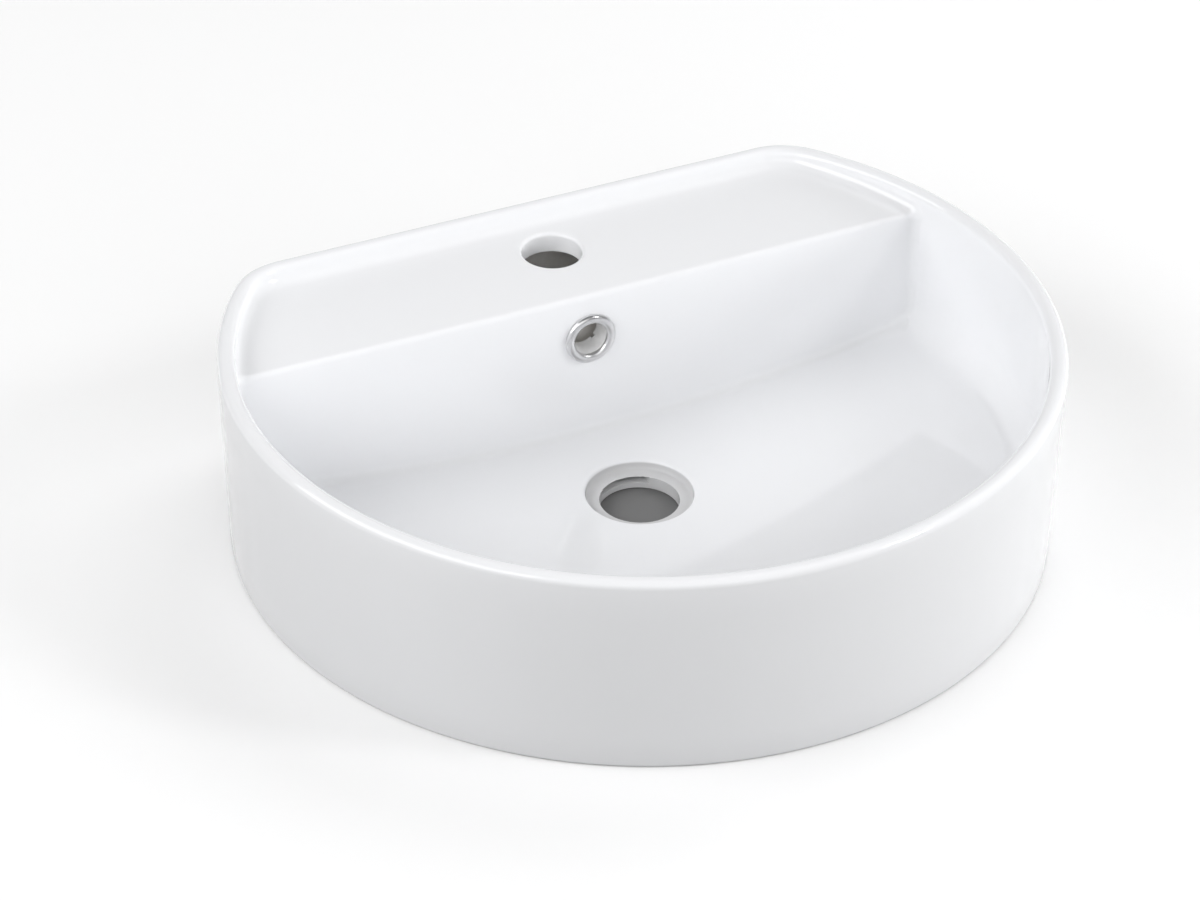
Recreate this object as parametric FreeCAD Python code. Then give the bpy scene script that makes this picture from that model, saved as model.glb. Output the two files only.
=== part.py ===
"""Wash basin in glazed ceramic: round front, straight back, sunken tap ledge, one overflow ring.

Millimetres, +Z up. The origin lies on the foot plane under the middle of the plan's
box, +X runs along the flat back and +Y points at the wall behind the basin.
"""
import FreeCAD, Part
import math
import os

V = FreeCAD.Vector

# ---- plan and height of the casting ----
OUTER_RADIUS = 235.0         # round front and sides, at the rim
BACK_DISTANCE = 160.0        # centre of the round front to the flat back
BACK_CORNER_RADIUS = 41.0    # the two corners at the back
HEIGHT = 120.0               # foot to rim
SIDE_DRAFT = 2.5             # the round wall is this much smaller in radius at the foot
RIM_WIDTH = 10.0             # wall at the rim
RIM_EDGE_RADIUS = 4.2        # both edges of the rim
FOOT_EDGE_RADIUS = 2.0       # outer edge of the foot

# ---- tap ledge ----
LEDGE_DROP = 12.5            # rim down to the ledge's front edge
LEDGE_RISE = 3.7             # the ledge climbs this much from there to the back wall
LEDGE_FRONT = 69.5           # centre of the round front to the ledge's front face, at its ends
LEDGE_BOW = 3.0              # how far that face bows forward in the middle
LEDGE_EDGE_RADIUS = 2.6      # front edge of the ledge
LEDGE_COVE_RADIUS = 4.0      # hollow where the ledge meets the rim wall
TAP_HOLE_RADIUS = 17.5
TAP_HOLE_FROM_BACK = 42.5
TAP_HOLE_EDGE_RADIUS = 2.2

# ---- bowl ----
FLOOR_HEIGHT = 14.0          # floor at the lip of the waste hole
FLOOR_DISH_RADIUS = 1300.0   # the floor is part of a ball of this radius
FLOOR_COVE_RADIUS = 18.0     # floor to the round wall
BOWL_CORNER_RADIUS = 4.0     # ledge's front face to the floor and the round wall

# ---- waste hole ----
WASTE_SEAT_RADIUS = 31.0     # countersink for the flange of a waste
WASTE_SEAT_DEPTH = 4.2
WASTE_SEAT_FLARE = 1.4       # the seat's side leans out this much towards the lip
WASTE_SEAT_DISH = 1.2        # the seat falls this much towards the bore
WASTE_BORE_RADIUS = 23.0
WASTE_LIP_RADIUS = 2.4
WASTE_BOSS_WALL = 19.0       # ring of solid ceramic round the bore, for the back nut

# ---- underside, open to the worktop ----
FOOT_WIDTH = 12.0            # ring that the basin stands on
SKIN = 9.0                   # ceramic under the floor, behind the ledge's face and under the ledge
UNDER_CORNER_RADIUS = 6.0
BOSS_LIFT = 1.0              # boss and overflow rib stay this far off the worktop

# ---- overflow passage ----
OVERFLOW_HEIGHT = 79.5       # centre of the overflow hole above the foot
OVERFLOW_HOLE_RADIUS = 12.0
DUCT_WIDTH = 52.0            # passage behind the ledge's face
DUCT_DEPTH = 11.5
DUCT_WALL = 6.0
DUCT_HEADROOM = 5.0          # passage above the overflow hole
OUTLET_WIDTH = 30.0          # slot from the passage into the waste bore
OUTLET_HEIGHT = 4.0
OUTLET_FLOOR = 3.6           # ceramic under the slot

# ---- overflow ring, pushed into the overflow hole ----
BEZEL_RADIUS = 15.6
BEZEL_HEIGHT = 3.4
BEZEL_BACK_LIP = 0.8         # straight edge of the bezel, before its dome
BEZEL_THROAT = 2.2           # crest of the dome down to the sleeve's bore
SLEEVE_BORE_RADIUS = 10.2
SLEEVE_CLEARANCE = 0.25      # between the sleeve and the hole
BEZEL_CLEARANCE = 0.05       # between the bezel's back and the ledge's face
FINGER_COUNT = 4
FINGER_SLOT = 3.0
FINGER_ROOT = 7.0            # the slots start this far behind the ledge's face
FINGER_TURN = 45.0           # degrees from upright to the first slot
FINGER_BARB = 0.7            # the barbs reach this far past the hole's wall
FINGER_BARB_LENGTH = 3.0
BARB_CLEARANCE = 0.35        # between the barbs and the back of the skin

# ---- places that follow from those sizes ----
CENTRE_Y = (OUTER_RADIUS - BACK_DISTANCE) / 2.0   # centre of the round front and of the waste
BACK_Y = CENTRE_Y + BACK_DISTANCE
INNER_RADIUS = OUTER_RADIUS - RIM_WIDTH
LEDGE_Z = HEIGHT - LEDGE_DROP
LEDGE_MID_Y = CENTRE_Y + LEDGE_FRONT - LEDGE_BOW
LEDGE_SLOPE = LEDGE_RISE / (BACK_Y - RIM_WIDTH - LEDGE_MID_Y)
SKIN_BACK_Y = LEDGE_MID_Y + SKIN
DUCT_BACK_Y = SKIN_BACK_Y + DUCT_DEPTH
TAP_Y = BACK_Y - TAP_HOLE_FROM_BACK
BOSS_RADIUS = WASTE_BORE_RADIUS + WASTE_BOSS_WALL
OUTLET_Z = BOSS_LIFT + OUTLET_FLOOR
REACH = 2.0 * OUTER_RADIUS   # a length past any edge of the casting
PAST = 5.0                   # how far a cutting shape runs past the face that it opens
OVERLAP = 1.0                # how far a cutting shape runs into its neighbour
TOUCH = 0.01                 # edges closer than this to a place lie at it

UP = V(0, 0, 1)
BACK = V(0, 1, 0)


def polygon(points):
    """Closed wire through the points."""
    return Part.makePolygon(list(points) + [points[0]])


def box(x_half, y_low, y_high, z_low, z_high):
    """Box that is even about the plane x = 0."""
    return Part.makeBox(2 * x_half, y_high - y_low, z_high - z_low, V(-x_half, y_low, z_low))


def turned(wire):
    """Solid made by turning a wire in the plane x >= 0, y = centre about the bowl's axis."""
    return Part.Face(wire).revolve(V(0, CENTRE_Y, 0), UP, 360.0)


def at_radius(radius, height):
    """Point of a turned outline."""
    return V(radius, CENTRE_Y, height)


def dish_rise(radius):
    """How far the dished floor rises from its lowest point to a distance from it."""
    return FLOOR_DISH_RADIUS - math.sqrt(FLOOR_DISH_RADIUS ** 2 - radius ** 2)


def floor_height(radius):
    """Height of the bowl's floor at a distance from the waste's axis."""
    return FLOOR_HEIGHT + dish_rise(radius) - dish_rise(WASTE_SEAT_RADIUS)


def floor_arc(radius_a, radius_b, drop=0.0):
    """Outline of the floor between two distances from the waste's axis, or of its underside."""
    middle = (radius_a + radius_b) / 2
    points = [at_radius(r, floor_height(r) - drop) for r in (radius_a, middle, radius_b)]
    return Part.Arc(*points).toShape()


def ledge_height(y):
    """Height of the sloped ledge."""
    return LEDGE_Z + LEDGE_SLOPE * (y - LEDGE_MID_Y)


def edges_where(shape, test):
    """Edges that meet a test all along."""
    return [e for e in shape.Edges if all(test(p) for p in e.discretize(5))]


def level_edges(shape, height):
    """Edges that lie wholly at one height."""
    return edges_where(shape, lambda p: abs(p.z - height) < TOUCH)


def on_ledge(p):
    """Whether a point lies in the plane of the ledge."""
    return abs(p.z - ledge_height(p.y)) < TOUCH


def round_axis(p, radius, middle_y):
    """Whether a point lies at a radius from an upright axis in the plane x = 0."""
    return abs(math.hypot(p.x, p.y - middle_y) - radius) < TOUCH


def upright_edges_at(shape, y):
    """Upright edges that lie in one plane square to the Y axis."""
    return [e for e in edges_where(shape, lambda p: abs(p.y - y) < TOUCH) if e.BoundBox.ZLength > PAST]


def d_block(radius_low, radius_high, back_y, corner, z_low, z_high):
    """Round block cut off straight at the back, with rounded back corners."""
    height = z_high - z_low
    foot = V(0, CENTRE_Y, z_low)
    if radius_low == radius_high:
        drum = Part.makeCylinder(radius_low, height, foot)
    else:
        drum = Part.makeCone(radius_low, radius_high, height, foot)
    block = drum.common(box(REACH, -REACH, back_y, z_low - PAST, z_high + PAST))
    return block.makeFillet(corner, upright_edges_at(block, back_y))


def ledge_face_region(offset, z_low, z_high):
    """Everything in front of the ledge's bowed face, moved back by an offset."""
    end_y = CENTRE_Y + LEDGE_FRONT + offset
    left, right = V(-OUTER_RADIUS, end_y, z_low), V(OUTER_RADIUS, end_y, z_low)
    arc = Part.Arc(left, V(0, end_y - LEDGE_BOW, z_low), right).toShape()
    far_right, far_left = V(OUTER_RADIUS, -REACH, z_low), V(-OUTER_RADIUS, -REACH, z_low)
    sides = [Part.makeLine(right, far_right), Part.makeLine(far_right, far_left), Part.makeLine(far_left, left)]
    return Part.Face(Part.Wire([arc] + sides)).extrude(UP * (z_high - z_low))


def outer_block():
    """The casting's outside, as a solid block with its rim and foot edges rounded."""
    block = d_block(OUTER_RADIUS - SIDE_DRAFT, OUTER_RADIUS, BACK_Y, BACK_CORNER_RADIUS, 0.0, HEIGHT)
    block = block.makeFillet(RIM_EDGE_RADIUS, level_edges(block, HEIGHT))
    return block.makeFillet(FOOT_EDGE_RADIUS, level_edges(block, 0.0))


def tray_space():
    """The shallow space above the plane of the ledge, inside the rim."""
    space = d_block(INNER_RADIUS, INNER_RADIUS, BACK_Y - RIM_WIDTH, BACK_CORNER_RADIUS - RIM_WIDTH,
                    0.0, HEIGHT + PAST)
    outline = [V(-REACH, y, z) for y, z in ((-REACH, -REACH), (-REACH, ledge_height(-REACH)),
                                            (REACH, ledge_height(REACH)), (REACH, -REACH))]
    below = Part.Face(polygon(outline)).extrude(V(2 * REACH, 0, 0))
    space = space.cut(below)
    return space.makeFillet(LEDGE_COVE_RADIUS, edges_where(space, on_ledge))


def bowl_outline():
    """Half section of the bowl: dished floor, cove, upright wall."""
    dish_z = floor_height(0) + FLOOR_DISH_RADIUS
    cove_r = INNER_RADIUS - FLOOR_COVE_RADIUS
    cove_z = dish_z - math.sqrt((FLOOR_DISH_RADIUS - FLOOR_COVE_RADIUS) ** 2 - cove_r ** 2)
    start = math.atan2(cove_z - dish_z, cove_r)
    low_r = FLOOR_DISH_RADIUS * math.cos(start)
    top = LEDGE_Z + LEDGE_COVE_RADIUS + OVERLAP

    def on_cove(turn):
        return at_radius(cove_r + FLOOR_COVE_RADIUS * math.cos(turn), cove_z + FLOOR_COVE_RADIUS * math.sin(turn))

    return Part.Wire([
        floor_arc(0.0, low_r),
        Part.Arc(on_cove(start), on_cove(start / 2), on_cove(0)).toShape(),
        Part.makeLine(on_cove(0), at_radius(INNER_RADIUS, top)),
        Part.makeLine(at_radius(INNER_RADIUS, top), at_radius(0, top)),
        Part.makeLine(at_radius(0, top), at_radius(0, floor_height(0))),
    ])


def bowl_space():
    """The bowl in front of the ledge, with rounded corners where the two meet."""
    space = turned(bowl_outline()).common(ledge_face_region(0.0, -PAST, HEIGHT + 2 * PAST))
    behind_waste = CENTRE_Y + LEDGE_FRONT / 2
    corner = [e for e in space.Edges if e.BoundBox.YMin > behind_waste and e.CenterOfMass.z < LEDGE_Z]
    return space.makeFillet(BOWL_CORNER_RADIUS, corner)


def ledge_edge_rounding():
    """The sliver that is taken off the ledge's front edge to round it."""
    radius = LEDGE_EDGE_RADIUS
    bow_radius = (OUTER_RADIUS ** 2 + LEDGE_BOW ** 2) / (2 * LEDGE_BOW)
    half_turn = math.degrees(math.asin(OUTER_RADIUS / bow_radius))

    def at(back, height):
        return V(0, LEDGE_MID_Y + back, LEDGE_Z + height)

    low, high = at(0, -radius), at(radius, 0)
    inside = radius * (1 - math.sqrt(0.5))
    outline = [high, at(radius, OVERLAP), at(-OVERLAP, OVERLAP), at(-OVERLAP, -radius), low]
    edges = [Part.makeLine(a, b) for a, b in zip(outline, outline[1:])]
    edges.append(Part.Arc(low, at(inside, -inside), high).toShape())
    bow_centre = V(0, LEDGE_MID_Y + bow_radius, 0)
    face = Part.Face(Part.Wire(edges))
    face.rotate(bow_centre, UP, -half_turn)
    sliver = face.revolve(bow_centre, UP, 2 * half_turn)
    sliver.rotate(at(0, 0), V(1, 0, 0), math.degrees(math.atan(LEDGE_SLOPE)))
    inside_cove = Part.makeCylinder(INNER_RADIUS - LEDGE_COVE_RADIUS, HEIGHT, V(0, CENTRE_Y, 0))
    return sliver.common(inside_cove)


def waste_space():
    """Countersunk seat and bore of the waste hole."""
    seat_z = FLOOR_HEIGHT - WASTE_SEAT_DEPTH
    outline = [
        at_radius(0, -PAST),
        at_radius(WASTE_BORE_RADIUS, -PAST),
        at_radius(WASTE_BORE_RADIUS, seat_z - WASTE_SEAT_DISH),
        at_radius(WASTE_SEAT_RADIUS - WASTE_SEAT_FLARE, seat_z),
        at_radius(WASTE_SEAT_RADIUS, FLOOR_HEIGHT),
        at_radius(WASTE_SEAT_RADIUS, FLOOR_HEIGHT + PAST),
        at_radius(0, FLOOR_HEIGHT + PAST),
    ]
    return turned(polygon(outline))


def space_under_floor():
    """Open space below the bowl's floor, between the waste boss and the foot."""
    foot_radius = OUTER_RADIUS - SIDE_DRAFT - FOOT_WIDTH
    inner_low, outer_low = at_radius(BOSS_RADIUS, -PAST), at_radius(foot_radius, -PAST)
    inner_top = at_radius(BOSS_RADIUS, floor_height(BOSS_RADIUS) - SKIN)
    outer_top = at_radius(foot_radius, floor_height(foot_radius) - SKIN)
    outline = Part.Wire([
        Part.makeLine(inner_low, inner_top),
        floor_arc(BOSS_RADIUS, foot_radius, SKIN),
        Part.makeLine(outer_top, outer_low),
        Part.makeLine(outer_low, inner_low),
    ])
    return turned(outline).common(ledge_face_region(SKIN + PAST, -2 * PAST, HEIGHT))


def space_under_ledge():
    """Open space behind the ledge's face, for the tap's shank and the supply hoses."""
    wall = RIM_WIDTH + SIDE_DRAFT
    space = d_block(OUTER_RADIUS - wall, OUTER_RADIUS - wall, BACK_Y - wall, BACK_CORNER_RADIUS - wall,
                    -PAST, LEDGE_Z - SKIN)
    space = space.cut(ledge_face_region(SKIN, -2 * PAST, HEIGHT))
    return space.makeFillet(UNDER_CORNER_RADIUS, level_edges(space, LEDGE_Z - SKIN))


def overflow_duct_block():
    """Ceramic round the overflow passage: a duct behind the ledge's face and a rib to the boss."""
    duct = box(DUCT_WIDTH / 2 + DUCT_WALL, LEDGE_MID_Y, DUCT_BACK_Y + DUCT_WALL, BOSS_LIFT, LEDGE_Z)
    rib = box(OUTLET_WIDTH / 2 + DUCT_WALL, CENTRE_Y, DUCT_BACK_Y, BOSS_LIFT, FLOOR_HEIGHT)
    return duct.fuse(rib)


def overflow_passage():
    """Way of the water: overflow hole, duct, slot into the waste bore."""
    start = V(0, LEDGE_MID_Y - PAST, OVERFLOW_HEIGHT)
    hole = Part.makeCylinder(OVERFLOW_HOLE_RADIUS, PAST + SKIN + OVERLAP, start, BACK)
    top = OVERFLOW_HEIGHT + OVERFLOW_HOLE_RADIUS + DUCT_HEADROOM
    duct = box(DUCT_WIDTH / 2, SKIN_BACK_Y, DUCT_BACK_Y, OUTLET_Z, top)
    slot = box(OUTLET_WIDTH / 2, CENTRE_Y, DUCT_BACK_Y, OUTLET_Z, OUTLET_Z + OUTLET_HEIGHT)
    return duct.fuse([slot, hole])


def basin_body():
    """The whole casting."""
    under = space_under_floor().fuse(space_under_ledge()).cut(overflow_duct_block())
    lift = Part.makeCylinder(BOSS_RADIUS + OVERLAP, BOSS_LIFT + PAST, V(0, CENTRE_Y, -PAST))
    under_duct = box(DUCT_WIDTH / 2 + DUCT_WALL, CENTRE_Y, DUCT_BACK_Y + DUCT_WALL, -PAST, BOSS_LIFT)
    tap_hole = Part.makeCylinder(TAP_HOLE_RADIUS, HEIGHT, V(0, TAP_Y, LEDGE_Z - SKIN - OVERLAP))
    body = outer_block().cut(tray_space())
    body = body.makeFillet(RIM_EDGE_RADIUS, inner_rim_edges(body))
    for space in (bowl_space(), ledge_edge_rounding(), under, lift, under_duct, tap_hole, overflow_passage(),
                  waste_space()):
        body = body.cut(space)
    body = body.removeSplitter()
    tap_edges = edges_where(body, lambda p: on_ledge(p) and round_axis(p, TAP_HOLE_RADIUS, TAP_Y))
    body = body.makeFillet(TAP_HOLE_EDGE_RADIUS, tap_edges)
    lip = edges_where(body, lambda p: abs(p.z - FLOOR_HEIGHT) < TOUCH and round_axis(p, WASTE_SEAT_RADIUS, CENTRE_Y))
    return body.makeFillet(WASTE_LIP_RADIUS, lip)


def inner_rim_edges(body):
    """Inner edge of the rim's top."""
    def inside(p):
        return math.hypot(p.x, p.y - CENTRE_Y) < INNER_RADIUS + TOUCH and p.y < BACK_Y - RIM_WIDTH + TOUCH

    return edges_where(body, lambda p: abs(p.z - HEIGHT) < TOUCH and inside(p))


def crowned_arc(at, crest, end):
    """Arc from a crest, where it is level, to an end; both are given as (radius, distance back)."""
    across, back = end[0] - crest[0], end[1] - crest[1]
    radius = (across ** 2 + back ** 2) / (2 * back)
    half_turn = math.atan2(across, radius - back) / 2
    middle = at(crest[0] + radius * math.sin(half_turn), crest[1] + radius * (1 - math.cos(half_turn)))
    return Part.Arc(at(*crest), middle, at(*end)).toShape()


def overflow_ring():
    """Push-in trim of the overflow hole: domed bezel, sleeve and barbed fingers."""
    face_y = LEDGE_MID_Y - BEZEL_CLEARANCE
    sleeve_r = OVERFLOW_HOLE_RADIUS - SLEEVE_CLEARANCE
    barb_start = BEZEL_CLEARANCE + SKIN + BARB_CLEARANCE
    barb_end = barb_start + FINGER_BARB_LENGTH

    def at(radius, back):
        return V(radius, face_y + back, OVERFLOW_HEIGHT)

    crest = ((BEZEL_RADIUS + SLEEVE_BORE_RADIUS) / 2, -BEZEL_HEIGHT)
    throat = (SLEEVE_BORE_RADIUS, BEZEL_THROAT - BEZEL_HEIGHT)
    edge = (BEZEL_RADIUS, -BEZEL_BACK_LIP)
    points = [
        at(*throat),
        at(SLEEVE_BORE_RADIUS, barb_end),
        at(sleeve_r, barb_end),
        at(OVERFLOW_HOLE_RADIUS + FINGER_BARB, barb_start),
        at(sleeve_r, barb_start),
        at(sleeve_r, 0),
        at(BEZEL_RADIUS, 0),
        at(*edge),
    ]
    edges = [Part.makeLine(a, b) for a, b in zip(points, points[1:])]
    dome = [crowned_arc(at, crest, edge), crowned_arc(at, crest, throat)]
    ring = Part.Face(Part.Wire(dome + edges)).revolve(at(0, 0), BACK, 360.0)
    for number in range(FINGER_COUNT // 2):
        slot = Part.makeBox(FINGER_SLOT, barb_end + PAST, 2 * BEZEL_RADIUS,
                            V(-FINGER_SLOT / 2, face_y + FINGER_ROOT, OVERFLOW_HEIGHT - BEZEL_RADIUS))
        slot.rotate(at(0, 0), BACK, FINGER_TURN + number * 360.0 / FINGER_COUNT)
        ring = ring.cut(slot)
    return ring


PIECES = {
    "basin_body": basin_body,
    "overflow_ring": overflow_ring,
}

os.makedirs("parts", exist_ok=True)
for name, make in PIECES.items():
    shape = make()
    solids = shape.Solids
    piece = solids[0] if len(solids) == 1 else shape
    extent = piece.BoundBox
    print(name, "solids", len(solids), "valid", piece.isValid(), "volume cm3", round(piece.Volume / 1000.0, 1),
          "box", round(extent.XLength, 2), round(extent.YLength, 2), round(extent.ZLength, 2))
    piece.exportStep("parts/" + name + ".step")
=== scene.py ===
import math
import bmesh
import bpy
import numpy as np
from mathutils import Vector, Matrix


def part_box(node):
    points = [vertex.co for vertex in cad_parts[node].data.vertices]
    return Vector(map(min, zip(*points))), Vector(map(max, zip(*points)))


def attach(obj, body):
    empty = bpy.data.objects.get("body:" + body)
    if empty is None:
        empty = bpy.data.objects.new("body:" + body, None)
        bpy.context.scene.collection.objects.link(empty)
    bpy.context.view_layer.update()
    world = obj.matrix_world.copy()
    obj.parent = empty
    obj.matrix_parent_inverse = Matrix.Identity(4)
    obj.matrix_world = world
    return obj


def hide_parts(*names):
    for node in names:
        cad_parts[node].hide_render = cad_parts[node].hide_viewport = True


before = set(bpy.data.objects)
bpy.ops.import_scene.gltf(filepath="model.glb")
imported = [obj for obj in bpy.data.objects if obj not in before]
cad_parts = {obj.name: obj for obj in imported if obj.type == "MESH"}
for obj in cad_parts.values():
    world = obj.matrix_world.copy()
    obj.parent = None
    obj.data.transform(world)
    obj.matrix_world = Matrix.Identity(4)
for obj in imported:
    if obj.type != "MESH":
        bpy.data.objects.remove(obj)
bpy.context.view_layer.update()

# ---- Camera: a long lens that looks down into the bowl ----
# It stands to the left of the basin's front, so that the round front, the ledge and the waste show.
SENSOR_MM = 36.0
LENS_MM = 116.58
CAMERA_PLACE = (-0.82111, -1.58083, 1.27251)
CAMERA_HEADING = math.radians(26.182)  # from +Y towards +X
CAMERA_TILT = math.radians(34.136)     # below level
CAMERA_ROLL = math.radians(0.608)
FARTHEST_SEEN = 50.0

scene = bpy.context.scene
lens = bpy.data.cameras.new("camera")
lens.sensor_width = SENSOR_MM
lens.lens = LENS_MM
lens.clip_end = FARTHEST_SEEN
camera = bpy.data.objects.new("camera", lens)
scene.collection.objects.link(camera)
ahead = Vector((math.sin(CAMERA_HEADING) * math.cos(CAMERA_TILT),
                math.cos(CAMERA_HEADING) * math.cos(CAMERA_TILT),
                -math.sin(CAMERA_TILT)))
across = Vector((math.cos(CAMERA_HEADING), -math.sin(CAMERA_HEADING), 0.0))
upward = across.cross(ahead)
right = across * math.cos(CAMERA_ROLL) + upward * math.sin(CAMERA_ROLL)
above = upward * math.cos(CAMERA_ROLL) - across * math.sin(CAMERA_ROLL)
turn = Matrix((right, above, -ahead)).transposed().to_4x4()
camera.matrix_world = Matrix.Translation(CAMERA_PLACE) @ turn
scene.camera = camera
scene.view_settings.view_transform = "Standard"


# ---- Basin body: one casting of vitreous china, slip cast, and glazed white where it shows ----
# The glazed skin is worked out as rows of points round the waste, drawn onto the smooth surface.
# The underside with its foot and the overflow passage are the solid's own faces, as they were cast.
MM = 0.001
low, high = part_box("basin_body")
OUTER_RADIUS = high.x
CENTRE_Y = low.y + OUTER_RADIUS        # the round front and the waste share this centre
BACK = high.y - CENTRE_Y
HEIGHT = high.z
CORNER_RADIUS = 41 * MM
SIDE_DRAFT = 2.5 * MM
RIM_WIDTH = 10 * MM
RIM_EDGE = 4.2 * MM
FOOT_EDGE = 2 * MM
SKIN = 9 * MM                          # ceramic below the ledge and behind its face
LEDGE_FRONT = 66.5 * MM                # centre to the middle of the ledge's face
LEDGE_BOW_RADIUS = 9.2
LEDGE_Z = HEIGHT - 12.5 * MM
LEDGE_RISE = 3.7 * MM
LEDGE_SLOPE = LEDGE_RISE / (BACK - RIM_WIDTH - LEDGE_FRONT)
LEDGE_EDGE = 3 * MM
LEDGE_UNDERSIDE = LEDGE_Z - SKIN
FLOOR_Z = 14 * MM                      # at the lip of the waste hole
DISH_RADIUS = 1.3
WALL_COVE = 18 * MM                    # hollow between floor and wall
FACE_COVE = 5 * MM                     # hollow between floor and ledge's face
COVE_CHANGE = 60 * MM                  # stretch over which the one turns into the other
TRAY_COVE = 7 * MM                     # hollow between the sunken ledge and the rim
CREASE = 4 * MM                        # upright corner between the ledge's face and the wall
CREASE_CHANGE = 8 * MM                 # height over which it widens to the tray's hollow
LIP_RADIUS = 31 * MM                   # waste hole
LIP_BLEND = 3.2 * MM                   # where the floor starts to turn down into it
BORE_RADIUS = 23 * MM
SEAT_EDGE_Z = 8.6 * MM
SLOT_WIDTH = 30 * MM                   # the overflow's slot in the waste bore
SLOT_HEIGHT = 4 * MM
SLOT_FLOOR_Z = 4.6 * MM
TAP_Y = 117.5 * MM                     # tap hole, from the centre
TAP_RADIUS = 17.5 * MM
TAP_EDGE = 2.2 * MM
HOLE_Z = 79.5 * MM                     # overflow hole
HOLE_RADIUS = 12 * MM
HOLE_EDGE = 0.5 * MM
OVERFLOW_BACK = CENTRE_Y + LEDGE_FRONT + SKIN
DUCT_DEPTH = 12 * MM                   # of the overflow's duct behind that
GLAZE_COLOUR = (0.85, 0.856, 0.872, 1)
# The second colour is painted shade: the grey that the glaze takes down in the waste seat, in place of real
# shade.
SEAT_PAINTED_SHADE = (0.60, 0.60, 0.605, 1)
BISCUIT_COLOURS = ((0.94, 0.93, 0.91, 1), (0.86, 0.84, 0.80, 1))
SHADE_START, SHADE_FULL = 0.3 * MM, 1.6 * MM    # of the seat's painted shade, below the lip
CLOUD_SCALE, RIPPLE_SCALE, PORE_SCALE = 9, 60, 400
CLOUD_SHARE = 0.02
WELD = 0.001 * MM                      # points nearer than this are one point
SHARP_ANGLE = math.radians(38)         # edges that bend more than this show as edges


def plan_shape(inset, radius):
    """Radius, distance to the back, corner radius and corner centre of the plan, drawn in."""
    r, back, corner = radius - inset, BACK - inset, CORNER_RADIUS - inset
    centre_y = back - corner
    centre_x = np.sqrt((r - corner) ** 2 - centre_y ** 2)
    return r, back, corner, centre_x, centre_y


def plan_reach(turn, inset, radius=OUTER_RADIUS):
    """How far the plan reaches from its centre; the turn is measured from the back."""
    r, back, corner, cx, cy = plan_shape(inset, radius)
    turn = np.abs(turn)
    sx, sy = np.sin(turn), np.cos(turn)
    along = sx * cx + sy * cy
    round_corner = along + np.sqrt(np.maximum(along ** 2 - cx ** 2 - cy ** 2 + corner ** 2, 0))
    straight = back / np.maximum(sy, 0.1)
    rounded = np.where(turn < np.arctan2(cx, cy), round_corner, r)
    return np.where(turn < np.arctan2(cx, back), straight, rounded)


def plan_depth(x, y, inset, radius=OUTER_RADIUS):
    """Distance to the plan's outline, from inside; y is measured from the centre."""
    r, back, corner, cx, cy = plan_shape(inset, radius)
    x = np.abs(x)
    in_corner = (x > cx) & (np.arctan2(x, y) < np.arctan2(cx, cy))
    elsewhere = np.minimum(r - np.hypot(x, y), back - y)
    return np.where(in_corner, corner - np.hypot(x - cx, y - cy), elsewhere)


def hollow(a, b, radius):
    """Room before two walls that meet in a rounded hollow."""
    short = np.hypot(np.maximum(radius - a, 0), np.maximum(radius - b, 0))
    return np.maximum(np.minimum(a, b), radius) - short


def edge(a, b, radius):
    """Room round two faces that meet in a rounded edge."""
    past = np.hypot(np.maximum(a + radius, 0), np.maximum(b + radius, 0))
    return np.minimum(np.maximum(a, b), -radius) + past


def ease(value):
    """A smooth step from 0 to 1."""
    value = np.clip(value, 0, 1)
    return value * value * (3 - 2 * value)


def ledge_height(y):
    return LEDGE_Z + LEDGE_SLOPE * (y - LEDGE_FRONT)


def ledge_face(x):
    return LEDGE_FRONT + x ** 2 / (2 * LEDGE_BOW_RADIUS)


def dish(reach):
    return DISH_RADIUS - np.sqrt(DISH_RADIUS ** 2 - reach ** 2)


def floor_height(reach):
    return FLOOR_Z + dish(reach) - dish(LIP_RADIUS)


def room(p):
    """Distance from a point above the basin to its glazed inside: rim, tray, ledge, wall and floor."""
    x, y, z = p[:, 0], p[:, 1] - CENTRE_Y, p[:, 2]
    wall = plan_depth(x, y, RIM_WIDTH)
    ledge = edge(ledge_face(x) - y, z - ledge_height(y), LEDGE_EDGE)
    floor = DISH_RADIUS - np.sqrt(x ** 2 + y ** 2 + (floor_height(0) + DISH_RADIUS - z) ** 2)
    side = CREASE + (TRAY_COVE - CREASE) * ease((z - LEDGE_Z + CREASE_CHANGE) / CREASE_CHANGE)
    upright = hollow(wall, ledge, side)
    cove = WALL_COVE + (FACE_COVE - WALL_COVE) * ease(0.5 + (wall - ledge) / COVE_CHANGE)
    return edge(hollow(upright, floor, cove), z - HEIGHT, RIM_EDGE)


def slope_of(p, step=0.01 * MM):
    """Direction in which the room grows fastest."""
    grad = np.empty_like(p)
    for axis in range(3):
        shift = np.zeros(3)
        shift[axis] = step
        grad[:, axis] = (room(p + shift) - room(p - shift)) / (2 * step)
    return grad


def settle(p, rounds=14, least_slope=0.05):
    """Points drawn onto the glazed surface."""
    for _ in range(rounds):
        grad = slope_of(p)
        p = p - (room(p) / np.maximum((grad ** 2).sum(1), least_slope))[:, None] * grad
    return p


def spread(start, end, fine_start, fine_end, coarse, growth=1.25):
    """Places from 0 to 1 along a length: fine steps at its two ends, coarse ones between."""
    length = abs(end - start)

    def from_end(step):
        places, at = [0.0], 0.0
        while at < length / 2:
            at += min(step, coarse)
            places.append(at)
            step *= growth
        return np.array(places[:-1])
    return np.concatenate([from_end(fine_start), length - from_end(fine_end)[::-1]]) / length


def end_turn(guess=1.2, rounds=60):
    """Turn at which the ledge's face meets the wall."""
    turn = guess
    for _ in range(rounds):
        reach = plan_reach(turn, RIM_WIDTH)
        turn = math.acos(ledge_face(reach * math.sin(turn)) / reach)
    return turn


LEDGE_END = end_turn()


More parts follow.
